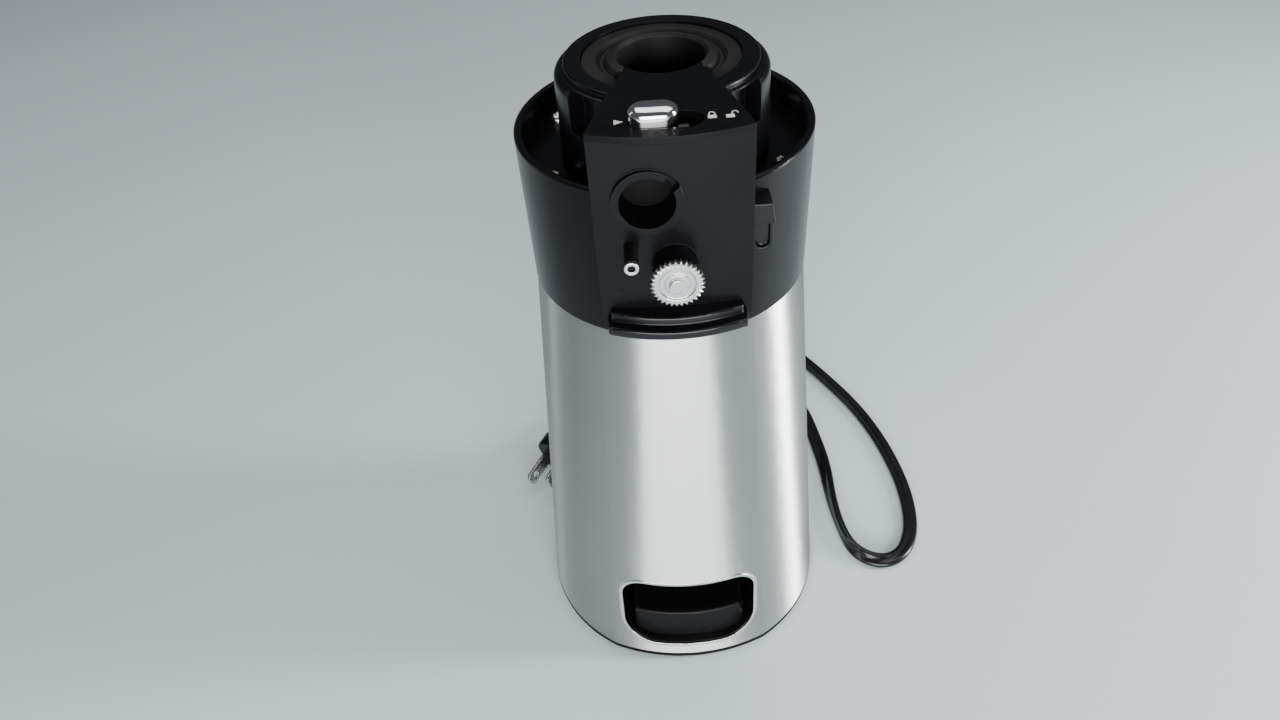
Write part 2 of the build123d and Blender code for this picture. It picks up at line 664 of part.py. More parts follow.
with BuildPart() as drive_wheel:
    with BuildSketch(facing_front(WHEEL_FRONT_Y + WHEEL_THICKNESS)):
        saw = []
        for tooth in range(WHEEL_TEETH):
            step = 2 * pi / WHEEL_TEETH
            for part_way, depth in ((0.0, 0), (0.3, 1.0), (0.55, 0.9)):
                radius = WHEEL_RADIUS - depth
                saw.append((radius * cos((tooth + part_way) * step), radius * sin((tooth + part_way) * step)))
        with Locations((0, WHEEL_Z)):
            Polygon(*saw, align=None)
            Circle(SPINDLE_NECK_RADIUS + 0.02, mode=Mode.SUBTRACT)
    extrude(amount=WHEEL_THICKNESS)
save(drive_wheel, "drive_wheel")

with BuildPart() as wheel_spindle:
    rod(0, WHEEL_Z, SPINDLE_NECK_RADIUS, SPINDLE_TIP_Y, -50)
    chamfer(wheel_spindle.edges().group_by(Axis.Y)[0], 0.35)
    rod(0, WHEEL_Z, SPINDLE_RADIUS, WHEEL_FRONT_Y + WHEEL_THICKNESS, REAR_PLATE_Y + 4)
save(wheel_spindle, "wheel_spindle")

with BuildPart() as front_bush:
    rod(0, WHEEL_Z, BUSH_RADIUS, BOSS_FRONT_Y + 0.3, -44)
    rod(0, WHEEL_Z, BUSH_RADIUS + 1.4, -46, -44)
    rod(0, WHEEL_Z, SPINDLE_RADIUS + RUNNING, -70, -40, mode=Mode.SUBTRACT)
save(front_bush, "front_bush")

with BuildPart() as rear_bush:
    rod(0, WHEEL_Z, 4.6, REAR_PLATE_Y - 2, REAR_PLATE_Y + 3.5)
    rod(0, WHEEL_Z, 6.4, REAR_PLATE_Y - 3.2, REAR_PLATE_Y - 0.02)
    rod(0, WHEEL_Z, SPINDLE_RADIUS + RUNNING, -70, 10, mode=Mode.SUBTRACT)
save(rear_bush, "rear_bush")

# ---- Gear case ---------------------------------------------------------------------------

SPINDLE = (0.0, WHEEL_Z)
SECOND_AXLE = below(SPINDLE, centres(OUTPUT_PAIR), SECOND_GEAR_LEAN)
FIRST_AXLE = below(SECOND_AXLE, centres(MIDDLE_PAIR), FIRST_GEAR_LEAN)
MOTOR = below(FIRST_AXLE, centres(MOTOR_PAIR), 0)


def gear_plate(y):
    """One steel side plate of the gear case, with its rivet, axle and spindle holes."""
    rim = [(-26, 119), (26, 119), (26, 198), (16, 208), (16, 214), (14, 222)]
    with BuildPart() as plate:
        with BuildSketch(facing_front(y + PLATE)) as outline:
            Polygon(*rim, *[(-x, z) for x, z in reversed(rim[2:])], align=None)
            fillet(outline.vertices().group_by(Axis.Y)[0], 4)
            with Locations(*SPACERS):
                Circle(1.62, mode=Mode.SUBTRACT)
            with Locations(SECOND_AXLE, FIRST_AXLE):
                Circle(AXLE_RADIUS + 0.02, mode=Mode.SUBTRACT)
        extrude(outline.sketch, amount=PLATE)
    return plate.part


def pinion_and_gear(centre, gear_pair, pinion_pair, gear_towards, pinion_towards):
    """A moulded double gear: the large wheel of one pair, and the pinion of the next in front of it."""
    rear = gear_pair["front"] + gear_pair["width"]
    pinion_front = pinion_pair["front"] - 0.3
    half_step = 180 / gear_pair["gear"]
    gear_turn = gear_towards + half_step
    toothed(gear_pair["gear"], gear_pair["module"], 0.72, gear_turn, *centre, rear, gear_pair["width"])
    toothed(
        pinion_pair["pinion"],
        pinion_pair["module"],
        1.0,
        pinion_towards,
        *centre,
        gear_pair["front"],
        gear_pair["front"] - pinion_front,
    )
    rod(*centre, AXLE_RADIUS + RUNNING, -60, 20, mode=Mode.SUBTRACT)


with BuildPart() as front_gear_plate:
    add(gear_plate(FRONT_PLATE_Y))
    rod(*SPINDLE, 7, -30, -20, mode=Mode.SUBTRACT)
    for x, z in GEAR_BOSSES:
        rod(x, z, 1.7, -30, -20, mode=Mode.SUBTRACT)
save(front_gear_plate, "front_gear_plate")

with BuildPart() as rear_gear_plate:
    add(gear_plate(REAR_PLATE_Y))
    rod(*SPINDLE, 4.62, -10, 10, mode=Mode.SUBTRACT)
    rod(*MOTOR, 5.5, -10, 10, mode=Mode.SUBTRACT)
    for side in (-1, 1):
        rod(MOTOR[0] + side * MOTOR_SCREW_X, MOTOR[1], 1.52, -10, 10, mode=Mode.SUBTRACT)
save(rear_gear_plate, "rear_gear_plate")

with BuildPart() as plate_spacers:
    for x, z in SPACERS:
        rod(x, z, 3.0, FRONT_PLATE_Y + PLATE, REAR_PLATE_Y)
        rod(x, z, 1.6, FRONT_PLATE_Y - 0.8, REAR_PLATE_Y + PLATE + 0.8)
        rod(x, z, 2.6, FRONT_PLATE_Y - 0.8, FRONT_PLATE_Y)
        rod(x, z, 2.6, REAR_PLATE_Y + PLATE, REAR_PLATE_Y + PLATE + 0.8)
save(plate_spacers, "plate_spacers")

with BuildPart() as gear_case_screws:
    for x, z in GEAR_BOSSES:
        screw(Plane((x, FRONT_PLATE_Y + PLATE, z), x_dir=(1, 0, 0), z_dir=(0, 1, 0)), 2.6, 1.5, 12)
save(gear_case_screws, "gear_case_screws")

with BuildPart() as output_gear:
    rear = OUTPUT_PAIR["front"] + OUTPUT_PAIR["width"]
    towards_pinion = direction(SPINDLE, SECOND_AXLE)
    toothed(
        OUTPUT_PAIR["gear"],
        OUTPUT_PAIR["module"],
        0.72,
        towards_pinion + 180 / OUTPUT_PAIR["gear"],
        *SPINDLE,
        rear,
        OUTPUT_PAIR["width"],
    )
    rod(*SPINDLE, 6.5, rear, rear + 3)
    rod(*SPINDLE, SPINDLE_RADIUS + 0.02, -40, 0, mode=Mode.SUBTRACT)
    with BuildSketch(facing_front(rear)) as web_holes:
        with Locations(SPINDLE):
            with PolarLocations(14, 6):
                Circle(4)
    extrude(web_holes.sketch, amount=OUTPUT_PAIR["width"], mode=Mode.SUBTRACT)
save(output_gear, "output_gear")

with BuildPart() as second_gear:
    pinion_and_gear(
        SECOND_AXLE,
        MIDDLE_PAIR,
        OUTPUT_PAIR,
        direction(SECOND_AXLE, FIRST_AXLE),
        direction(SECOND_AXLE, SPINDLE),
    )
save(second_gear, "second_gear")

with BuildPart() as first_gear:
    pinion_and_gear(
        FIRST_AXLE,
        MOTOR_PAIR,
        MIDDLE_PAIR,
        direction(FIRST_AXLE, MOTOR),
        direction(FIRST_AXLE, SECOND_AXLE),
    )
save(first_gear, "first_gear")

with BuildPart() as gear_axles:
    rod(*SECOND_AXLE, AXLE_RADIUS, FRONT_PLATE_Y, REAR_PLATE_Y + PLATE)
    rod(*FIRST_AXLE, AXLE_RADIUS, FRONT_PLATE_Y, REAR_PLATE_Y + PLATE)
save(gear_axles, "gear_axles")

# ---- Motor -------------------------------------------------------------------------------

STACK_REAR_Y = STACK_FRONT_Y + STACK_DEPTH
WINDOW = (MOTOR[1] - STACK_BELOW + 10, MOTOR[1] - 16)
LEG_MIDDLE = MOTOR[1] - STACK_BELOW + 5
COIL_WALL = 5.0

with BuildPart() as motor_stator:
    with BuildSketch(facing_front(STACK_REAR_Y)):
        with Locations((MOTOR[0], MOTOR[1] + (STACK_ABOVE - STACK_BELOW) / 2)):
            Rectangle(2 * STACK_HALF, STACK_ABOVE + STACK_BELOW)
        with Locations((MOTOR[0], sum(WINDOW) / 2)):
            Rectangle(27, WINDOW[1] - WINDOW[0], mode=Mode.SUBTRACT)
        with Locations(MOTOR):
            Circle(ROTOR_RADIUS + ROTOR_GAP, mode=Mode.SUBTRACT)
            with GridLocations(2 * MOTOR_SCREW_X, 1, 2, 1):
                Circle(1.55, mode=Mode.SUBTRACT)
    extrude(amount=STACK_DEPTH)
save(motor_stator, "motor_stator")

with BuildPart() as coil_bobbin:
    with Locations((MOTOR[0], (STACK_FRONT_Y + STACK_REAR_Y) / 2, LEG_MIDDLE)):
        Box(25.6, STACK_DEPTH + 1.8, 11.8)
        with GridLocations(24.4, 1, 2, 1):
            Box(1.2, STACK_DEPTH + 2 * COIL_WALL + 2, 10 + 2 * COIL_WALL + 2)
        Box(40, STACK_DEPTH + 0.04, 10.04, mode=Mode.SUBTRACT)
save(coil_bobbin, "coil_bobbin")

with BuildPart() as motor_coil:
    with Locations((MOTOR[0], (STACK_FRONT_Y + STACK_REAR_Y) / 2, LEG_MIDDLE)):
        Box(23.1, STACK_DEPTH + 2 * COIL_WALL, 10 + 2 * COIL_WALL)
        fillet(motor_coil.edges().filter_by(Axis.X), 3)
        Box(40, STACK_DEPTH + 1.84, 11.84, mode=Mode.SUBTRACT)
save(motor_coil, "motor_coil")


def motor_bracket(bar_front, leg_front, leg_rear):
    """A bar across the stack that holds a bearing on the rotor's axis, with its two legs."""
    with Locations((MOTOR[0], bar_front + BRACKET / 2, MOTOR[1])):
        Box(2 * MOTOR_SCREW_X + 9, BRACKET, 12)
    for side in (-1, 1):
        x = MOTOR[0] + side * MOTOR_SCREW_X
        rod(x, MOTOR[1], 3.8, leg_front, leg_rear)
        rod(x, MOTOR[1], 1.55, -10, 40, mode=Mode.SUBTRACT)
    rod(*MOTOR, 4.02, -10, 40, mode=Mode.SUBTRACT)


with BuildPart() as front_motor_bracket:
    motor_bracket(-1.5, REAR_PLATE_Y + PLATE, STACK_FRONT_Y)
save(front_motor_bracket, "front_motor_bracket")

with BuildPart() as rear_motor_bracket:
    motor_bracket(STACK_REAR_Y + BRACKET_GAP, STACK_REAR_Y, STACK_REAR_Y + BRACKET_GAP + BRACKET)
save(rear_motor_bracket, "rear_motor_bracket")

with BuildPart() as motor_bearings:
    for middle in (-0.25, STACK_REAR_Y + BRACKET_GAP + BRACKET / 2):
        rod(*MOTOR, 4.0, middle - 1.7, middle + 1.7)
        rod(*MOTOR, ROTOR_SHAFT_RADIUS + RUNNING, middle - 3, middle + 3, mode=Mode.SUBTRACT)
save(motor_bearings, "motor_bearings")

with BuildPart() as motor_screws:
    for side in (-1, 1):
        under_head = (MOTOR[0] + side * MOTOR_SCREW_X, STACK_REAR_Y + BRACKET_GAP + BRACKET, MOTOR[1])
        screw(Plane(under_head, x_dir=(1, 0, 0), z_dir=(0, 1, 0)), 2.6, 1.5, under_head[1] - REAR_PLATE_Y + 1)
save(motor_screws, "motor_screws")

with BuildPart() as rotor_shaft:
    rod(*MOTOR, ROTOR_SHAFT_RADIUS, -12, 39)
save(rotor_shaft, "rotor_shaft")

with BuildPart() as motor_rotor:
    rod(*MOTOR, ROTOR_RADIUS, STACK_FRONT_Y, STACK_REAR_Y)
    rod(*MOTOR, 10, STACK_FRONT_Y - 1.2, STACK_REAR_Y + 1.2)
    rod(*MOTOR, ROTOR_SHAFT_RADIUS + 0.02, -20, 60, mode=Mode.SUBTRACT)
save(motor_rotor, "motor_rotor")

with BuildPart() as motor_pinion:
    pinion_rear = MOTOR_PAIR["front"] + MOTOR_PAIR["width"] + 0.3
    pinion_turn = direction(MOTOR, FIRST_AXLE)
    toothed(MOTOR_PAIR["pinion"], MOTOR_PAIR["module"], 1.0, pinion_turn, *MOTOR, pinion_rear, 3.6)
    rod(*MOTOR, ROTOR_SHAFT_RADIUS + 0.02, -20, 0, mode=Mode.SUBTRACT)
save(motor_pinion, "motor_pinion")

with BuildPart() as cooling_fan:
    rod(*MOTOR, 5, FAN_FRONT_Y, FAN_FRONT_Y + 7)
    rod(*MOTOR, FAN_RADIUS, FAN_FRONT_Y, FAN_FRONT_Y + 1)
    with BuildSketch(facing_front(FAN_FRONT_Y + 6.5)) as blades:
        with Locations(MOTOR):
            with PolarLocations(12, FAN_BLADES):
                Rectangle(15, 1.2, rotation=18)
    extrude(blades.sketch, amount=6)
    rod(*MOTOR, ROTOR_SHAFT_RADIUS + 0.02, 20, 60, mode=Mode.SUBTRACT)
save(cooling_fan, "cooling_fan")

# ---- Switch ------------------------------------------------------------------------------

with BuildPart() as switch_body:
    with Locations((SWITCH_X, SWITCH_Y, SWITCH_BOTTOM + SWITCH_HEIGHT / 2)):
        Box(SWITCH_WIDTH, 13, SWITCH_HEIGHT)
    with Locations((SWITCH_X, SWITCH_Y, SWITCH_BOTTOM + 4 + SWITCH_HEIGHT / 2)):
        Cylinder(PLUNGER_RADIUS + 0.1, SWITCH_HEIGHT, mode=Mode.SUBTRACT)
save(switch_body, "switch_body")

with BuildPart() as switch_plunger:
    with Locations((SWITCH_X, SWITCH_Y, (PLUNGER_FOOT + PLUNGER_TOP) / 2)):
        Cylinder(PLUNGER_RADIUS, PLUNGER_TOP - PLUNGER_FOOT)
    fillet(switch_plunger.edges().group_by(Axis.Z)[-1], 0.8)
save(switch_plunger, "switch_plunger")

with BuildPart() as switch_spring:
    with Locations((SWITCH_X, SWITCH_Y, (SWITCH_BOTTOM + 4 + PLUNGER_FOOT) / 2)):
        Cylinder(1.4, PLUNGER_FOOT - SWITCH_BOTTOM - 4.1)
        Cylinder(0.9, 20, mode=Mode.SUBTRACT)
save(switch_spring, "switch_spring")

with BuildPart() as switch_terminals:
    with Locations((SWITCH_X, SWITCH_Y + 8.3, SWITCH_BOTTOM + 5)):
        with GridLocations(5, 1, 2, 1):
            Box(0.6, 3.6, 3.2)
save(switch_terminals, "switch_terminals")

# ---- Release button ----------------------------------------------------------------------

with BuildPart() as release_button:
    extrude(slot_outline(LATCH_TOP, BUTTON_LENGTH, BUTTON_WIDTH, BUTTON_X), amount=BUTTON_TOP - LATCH_TOP)
    fillet(release_button.edges().group_by(Axis.Z)[-1], 1.8)
save(release_button, "release_button")

with BuildPart() as latch_plate:
    with Locations((BUTTON_X, BUTTON_Y + 0.6, LATCH_TOP - 1)):
        Box(20, 7, 2)
    with Locations((KEYHOLE[0], BUTTON_Y - 0.4, LATCH_TOP - 4.7)):
        Box(4, 2, 7.4)
save(latch_plate, "latch_plate")

with BuildPart() as latch_spring:
    with Locations((LATCH_SPRING_X, BUTTON_Y, LATCH_TOP - 1)):
        Cylinder(1.5, 4.7, rotation=(0, 90, 0))
        Cylinder(1.0, 20, rotation=(0, 90, 0), mode=Mode.SUBTRACT)
save(latch_spring, "latch_spring")

# ---- Cord and plug -----------------------------------------------------------------------

with BuildPart() as cord_strain_relief:
    rod(GLAND_X, GLAND_Z, GLAND_HOLE - 0.05, 54, 61)
    rod(GLAND_X, GLAND_Z, 5.6, 51.5, 54)
    with Locations((GLAND_X, (61 + GLAND_MOUTH_Y) / 2, GLAND_Z)):
        Cone(GLAND_HOLE - 0.05, CORD_WIDTH / 2 + 0.7, GLAND_MOUTH_Y - 61, rotation=(-90, 0, 0))
save(cord_strain_relief, "cord_strain_relief")

plug_across = Vector(-PLUG_TOWARDS.Y, PLUG_TOWARDS.X, 0).rotate(Axis((0, 0, 0), PLUG_TOWARDS), PLUG_ROLL)
plug_plane = Plane(PLUG_FACE, x_dir=plug_across, z_dir=PLUG_TOWARDS)
cord_end = PLUG_FACE - PLUG_TOWARDS.normalized() * (PLUG_LENGTH + PLUG_NECK)

CORD_ROUTE = [
    (GLAND_X, GLAND_MOUTH_Y, GLAND_Z),
    (GLAND_X, 98, GLAND_Z),
    (21, 112, 5.6),
    (34, 122, CORD_LIE),
    (51, 121, CORD_LIE),
    (64, 108, CORD_LIE),
    (71.5, 90, CORD_LIE),
    (74, 72, CORD_LIE),
    (76, 48, CORD_LIE),
    (75, 24, CORD_LIE),
    (76.5, 5, CORD_LIE),
    (80, -8, CORD_LIE),
    (91, -14.5, CORD_LIE),
    (102, -10, CORD_LIE),
    (109, 2, CORD_LIE),
    (112, 18, CORD_LIE),
    (112, 38, CORD_LIE),
    (108, 64, CORD_LIE),
    (100, 90, CORD_LIE),
    (87, 116, CORD_LIE),
    (72, 141, CORD_LIE),
    (61, 168, CORD_LIE),
    (54, 196, CORD_LIE),
    (38, 217, CORD_LIE),
    (12, 225, CORD_LIE),
    (-12, 215, CORD_LIE),
    (-24, 193, CORD_LIE),
    (-26, 168, CORD_LIE),
    (-22.5, 146, 4.6),
    (-24, 124, 10.5),
    tuple(cord_end - PLUG_TOWARDS.normalized() * 16),
    tuple(cord_end),
]
points = [Vector(*point) for point in CORD_ROUTE]
runs = [after - before for before, after in zip(points, points[1:])]
turns = [before.get_angle(after) for before, after in zip(runs, runs[1:])]
arc_radii = [
    0.45 * min(before.length, after.length) / tan(radians(turn) / 2)
    for before, after, turn in zip(runs, runs[1:], turns)
]
print("cord runs", [round(run.length, 1) for run in runs])
print("cord turns", [round(turn, 1) for turn in turns])
print("cord arc radii", [round(radius, 1) for radius in arc_radii])

with BuildPart() as power_cord:
    with BuildLine() as route:
        FilletPolyline(*points, radius=arc_radii)
    with BuildSketch(Plane(route.wire() @ 0, z_dir=route.wire() % 0)):
        Circle(CORD_WIDTH / 2)
    sweep(path=route.wire())
print("cord length", route.wire().length, "volume", power_cord.part.volume)
print("section times length", pi * (CORD_WIDTH / 2) ** 2 * route.wire().length)
save(power_cord, "power_cord")


def plug_section(depth, width, thickness, corner):
    """A rounded section of the plug, some way behind its face."""
    with BuildSketch(plug_plane.offset(-depth)) as section:
        RectangleRounded(width, thickness, corner)
    return section.sketch


with BuildPart() as plug_body:
    loft([plug_section(0, *PLUG_SECTION, 5), plug_section(8, *PLUG_SECTION, 5)])
    loft([plug_section(8, *PLUG_SECTION, 5), plug_section(PLUG_LENGTH, 11, 11, 4.5)])
    loft([plug_section(PLUG_LENGTH, 10, 9, 4.2), plug_section(PLUG_LENGTH + PLUG_NECK, 8.2, 8.2, 4.0)])
save(plug_body, "plug_body")

with BuildPart() as plug_blades:
    with Locations(plug_plane):
        for side, width in ((-1, 6.35), (1, 7.9)):
            with Locations((side * 6.35, 0, 8.5)):
                Box(1.5, width, 17)
    crosswise = plug_blades.edges().filter_by(Axis(PLUG_FACE, plug_across))
    tips = crosswise.group_by(Axis(PLUG_FACE, PLUG_TOWARDS))[-1]
    chamfer(tips, 1.4)
    with Locations(plug_plane.offset(12)):
        Cylinder(1.7, 40, rotation=(0, 90, 0), mode=Mode.SUBTRACT)
save(plug_blades, "plug_blades")
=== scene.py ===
"""Looks of the tall electric can opener around its CAD frame: metres, +Z up, front to -Y."""

import json
from math import atan2, cos, pi, radians, sin

import bmesh
import bpy
from mathutils import Euler, Matrix, Vector


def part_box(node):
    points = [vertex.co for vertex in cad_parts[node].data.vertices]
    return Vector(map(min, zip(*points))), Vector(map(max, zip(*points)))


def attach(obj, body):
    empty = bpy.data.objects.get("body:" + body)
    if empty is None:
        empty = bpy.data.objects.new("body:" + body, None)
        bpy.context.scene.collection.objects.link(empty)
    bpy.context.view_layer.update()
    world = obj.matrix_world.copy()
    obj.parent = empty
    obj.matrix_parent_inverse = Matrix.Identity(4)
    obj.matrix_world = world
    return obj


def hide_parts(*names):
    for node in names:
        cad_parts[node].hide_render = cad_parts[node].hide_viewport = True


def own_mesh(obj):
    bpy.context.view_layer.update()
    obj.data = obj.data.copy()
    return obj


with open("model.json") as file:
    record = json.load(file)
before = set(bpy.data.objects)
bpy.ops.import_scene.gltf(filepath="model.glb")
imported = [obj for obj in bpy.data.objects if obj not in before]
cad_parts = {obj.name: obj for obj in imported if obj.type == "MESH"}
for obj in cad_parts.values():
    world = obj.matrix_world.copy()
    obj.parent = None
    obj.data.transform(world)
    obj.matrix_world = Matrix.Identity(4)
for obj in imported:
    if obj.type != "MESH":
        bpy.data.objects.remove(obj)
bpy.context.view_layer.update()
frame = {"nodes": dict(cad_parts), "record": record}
nodes = frame["nodes"]

MM = 0.001
EDGE_ROUND = 0.00035  # how far the finishes look rounded at a sharp edge


# ---- Camera ------------------------------------------------------------------------------


def set_camera():
    """A camera above the front, looking down on the opener, with its angles in degrees."""
    place = (-0.00906, -0.28936, 0.37682)
    tilt, roll, turn = 48.801, 3.213, -1.922
    data = bpy.data.cameras.new("camera")
    data.lens = 27.42
    data.sensor_width = 36
    data.clip_start = 0.01
    data.clip_end = 20
    camera = bpy.data.objects.new("camera", data)
    bpy.context.scene.collection.objects.link(camera)
    facing = Euler((radians(tilt), radians(roll), radians(turn))).to_matrix().to_4x4()
    camera.matrix_world = Matrix.Translation(place) @ facing
    bpy.context.scene.camera = camera


set_camera()


# ---- Shader maths ------------------------------------------------------------------------


class Tone:
    """A number or colour that varies over a surface; Python's operators add its Math nodes."""

    def __init__(self, finish, socket):
        self.finish = finish
        self.socket = socket

    def maths(self, operation, first, second):
        return self.finish.node("ShaderNodeMath", {"operation": operation}, {0: first, 1: second})

    def __add__(self, other):
        return self.maths("ADD", self, other)

    def __mul__(self, other):
        return self.maths("MULTIPLY", self, other)

    __radd__ = __add__
    __rmul__ = __mul__


class Finish:
    """One material: its nodes, and the principled shader that they feed."""

    def __init__(self, name, **fixed):
        self.material = bpy.data.materials.new(name)
        self.material.use_nodes = True
        self.nodes = self.material.node_tree.nodes
        self.shader = self.nodes["Principled BSDF"]
        for socket, value in fixed.items():
            self.shader.inputs[socket.replace("_", " ")].default_value = value

    def node(self, kind, settings=(), sockets=(), output=0):
        """Add a node: its settings first, then the values or links of its sockets."""
        made = self.nodes.new(kind)
        for name, value in dict(settings).items():
            setattr(made, name, value)
        for name, value in dict(sockets).items():
            self.feed(made.inputs[name], value)
        return Tone(self, made.outputs[output])

    def feed(self, socket, value):
        if isinstance(value, Tone):
            self.material.node_tree.links.new(value.socket, socket)
        else:
            socket.default_value = value

    def place(self, scale=(1, 1, 1)):
        """Object coordinates in metres, stretched by a scale along each axis."""
        here = self.node("ShaderNodeTexCoord", output="Object")
        return self.node("ShaderNodeMapping", {}, {"Vector": here, "Scale": scale})

    def noise(self, scale, detail=2.0, roughness=0.5, stretch=(1, 1, 1)):
        sockets = {
            "Vector": self.place(stretch), "Scale": scale, "Detail": detail, "Roughness": roughness,
        }
        return self.node("ShaderNodeTexNoise", {}, sockets)

    def blend(self, share, first, second):
        """One colour turning into another as the share goes from 0 to 1."""
        sockets = {0: share, 6: (*first, 1), 7: (*second, 1)}
        return self.node("ShaderNodeMix", {"data_type": "RGBA"}, sockets, output=2)

    def bump(self, height, depth, strength=1.0):
        rounded_edges = self.node("ShaderNodeBevel", {"samples": 4}, {"Radius": EDGE_ROUND})
        sockets = {
            "Height": height, "Distance": depth, "Strength": strength, "Normal": rounded_edges,
        }
        self.feed(self.shader.inputs["Normal"], self.node("ShaderNodeBump", {}, sockets))

    def shows(self, **varying):
        for socket, value in varying.items():
            self.feed(self.shader.inputs[socket.replace("_", " ")], value)


# ---- Finishes ----------------------------------------------------------------------------


def moulded(name, colour, roughness, grain=0.00004, size=2600, bloom=0.35, **fixed):
    """Moulded plastic or rubber: a fine spark-eroded grain, and a faint patchy bloom."""
    finish = Finish(name, **fixed)
    patches = finish.noise(38, detail=4, roughness=0.6)
    fine = finish.noise(size, detail=1.5)
    lighter = [min(1, c * (1 + bloom) + 0.002) for c in colour]
    darker = [c * (1 - bloom) for c in colour]
    finish.shows(Base_Color=finish.blend(patches, darker, lighter))
    finish.shows(Roughness=roughness - 0.05 + 0.07 * patches + 0.04 * fine)
    finish.bump(fine, grain)
    return finish.material


def ground(name, colour, roughness, stretch, depth=0.000006, streaks=500, tint=0.10, **fixed):
    """Ground or brushed metal: long fine scratches along the axis that is stretched least."""
    finish = Finish(name, Metallic=1.0, **fixed)
    scratches = finish.noise(streaks, detail=3, roughness=0.65, stretch=stretch)
    patches = finish.noise(30, detail=3)
    darker, lighter = [c * (1 - tint) for c in colour], [min(1, c * (1 + tint)) for c in colour]
    finish.shows(Base_Color=finish.blend(scratches, darker, lighter))
    finish.shows(Roughness=roughness - 0.06 + 0.08 * scratches + 0.05 * patches)
    finish.bump(scratches, depth)
    return finish.material


def plated(name, colour, roughness, depth=0.000008, size=220):
    """Plated or cast metal: a soft mottle in colour and gloss, with hardly any texture."""
    finish = Finish(name, Metallic=1.0)
    mottle = finish.noise(size, detail=4, roughness=0.6)
    finish.shows(Base_Color=finish.blend(mottle, [c * 0.88 for c in colour], colour))
    finish.shows(Roughness=roughness - 0.05 + 0.1 * mottle)
    finish.bump(mottle, depth)
    return finish.material


FINISHES = {
    "black_plastic": moulded(
        "black_plastic", (0.0035, 0.0035, 0.004), 0.46, Specular_IOR_Level=0.07
    ),
    "satin_black": moulded("satin_black", (0.002, 0.002, 0.003), 0.24, Specular_IOR_Level=0.15),
    "gloss_black": moulded("gloss_black", (0.003, 0.003, 0.004), 0.2, Specular_IOR_Level=0.3),
    "tool_plastic": moulded("tool_plastic", (0.003, 0.003, 0.0035), 0.36, Specular_IOR_Level=0.12),
    "grip_rubber": moulded("grip_rubber", (0.004, 0.004, 0.0045), 0.5, Specular_IOR_Level=0.3),
    "foot_rubber": moulded("foot_rubber", (0.02, 0.02, 0.02), 0.75),
    "grey_plastic": moulded("grey_plastic", (0.22, 0.23, 0.25), 0.45),
    "gear_nylon": moulded("gear_nylon", (0.72, 0.70, 0.63), 0.42, bloom=0.08),
    "cord_vinyl": moulded(
        "cord_vinyl", (0.003, 0.003, 0.004), 0.24, grain=0.00002, Specular_IOR_Level=0.35
    ),
    "brushed_sleeve": ground(
        "brushed_sleeve", (0.56, 0.57, 0.56), 0.39, (0.03, 0.03, 6.0),
        Anisotropic=1.0, Anisotropic_Rotation=0.25,
    ),
    "bright_steel": ground("bright_steel", (0.62, 0.62, 0.61), 0.27, (1, 0.1, 1)),
    "plated_steel": plated("plated_steel", (0.62, 0.62, 0.58), 0.34),
    "laminated_steel": ground("laminated_steel", (0.35, 0.36, 0.38), 0.42, (0.05, 3.0, 0.05)),
    "zinc_screw": plated("zinc_screw", (0.72, 0.72, 0.70), 0.24),
    "cast_zinc": plated("cast_zinc", (0.55, 0.55, 0.56), 0.5),
    "polished_chrome": plated("polished_chrome", (0.82, 0.82, 0.83), 0.12),
    "bronze": plated("bronze", (0.55, 0.38, 0.2), 0.45),
    "copper_wire": ground("copper_wire", (0.62, 0.28, 0.12), 0.3, (1, 1, 1)),
    "nickel_blade": ground("nickel_blade", (0.68, 0.67, 0.64), 0.26, (1, 1, 1)),
    "white_print": moulded("white_print", (0.75, 0.75, 0.74), 0.5, bloom=0.04),
}


def dress(piece, finish):
    """Give a piece its finish, in place of any that it had."""
    piece.data.materials.clear()
    piece.data.materials.append(FINISHES[finish])


for row in frame["record"]["subparts"]:
    dress(nodes[row["node"]], row["material_slot"])


def ease_edges(node, width):
    """Give a CAD node's sharp edges a small live bevel, once its triangles are joined up."""
    piece = nodes[node]
    weld = piece.modifiers.new("join_triangles", "WELD")
    weld.merge_threshold = 0.00001
    bevel = piece.modifiers.new("eased_edges", "BEVEL")
    bevel.width = width * MM
    bevel.segments = 2
    bevel.limit_method = "ANGLE"
    bevel.angle_limit = radians(40)
    bevel.use_clamp_overlap = False
    bevel.harden_normals = True


EASED = {"can_rest": 0.35, "cap_lifter": 0.3, "hand_tool": 0.3}
for node, width in EASED.items():
    ease_edges(node, width)


# ---- Making pieces -----------------------------------------------------------------------


def piece_of(name, mesh, finish, body, replaced=(), smooth=None):
    """A finished mesh as a piece that rides on a body and stands for some CAD nodes."""
    piece = bpy.data.objects.new(name, mesh)
    bpy.context.scene.collection.objects.link(piece)
    if smooth is not None:
        mesh.shade_smooth()
        mesh.set_sharp_from_angle(angle=radians(smooth))
    dress(piece, finish)
    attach(piece, body)
    if replaced:
        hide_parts(*replaced)
    return piece


# ---- Shapes, in millimetres --------------------------------------------------------------


def spot(node, x=0.5, y=0.5, z=0.5):
    """A point of a node's box, from its share of the way along each axis."""
    low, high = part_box(node)
    return tuple((a + (b - a) * share) / MM for a, b, share in zip(low, high, (x, y, z)))


def seat(origin, across, towards):
    """A place to build a shape on: millimetres across, up and along an axis, to metres."""
    along = Vector(towards).normalized()
    across = Vector(across).normalized()
    turn = Matrix((across, along.cross(across), along)).transposed().to_4x4()
    return Matrix.Scale(MM, 4) @ Matrix.Translation(origin) @ turn


def pulled_out(corner, made):
    """The new corner that an extrusion has made from an old one."""
    ends = [edge.other_vert(corner) for edge in corner.link_edges]
    return next(end for end in ends if end in made)


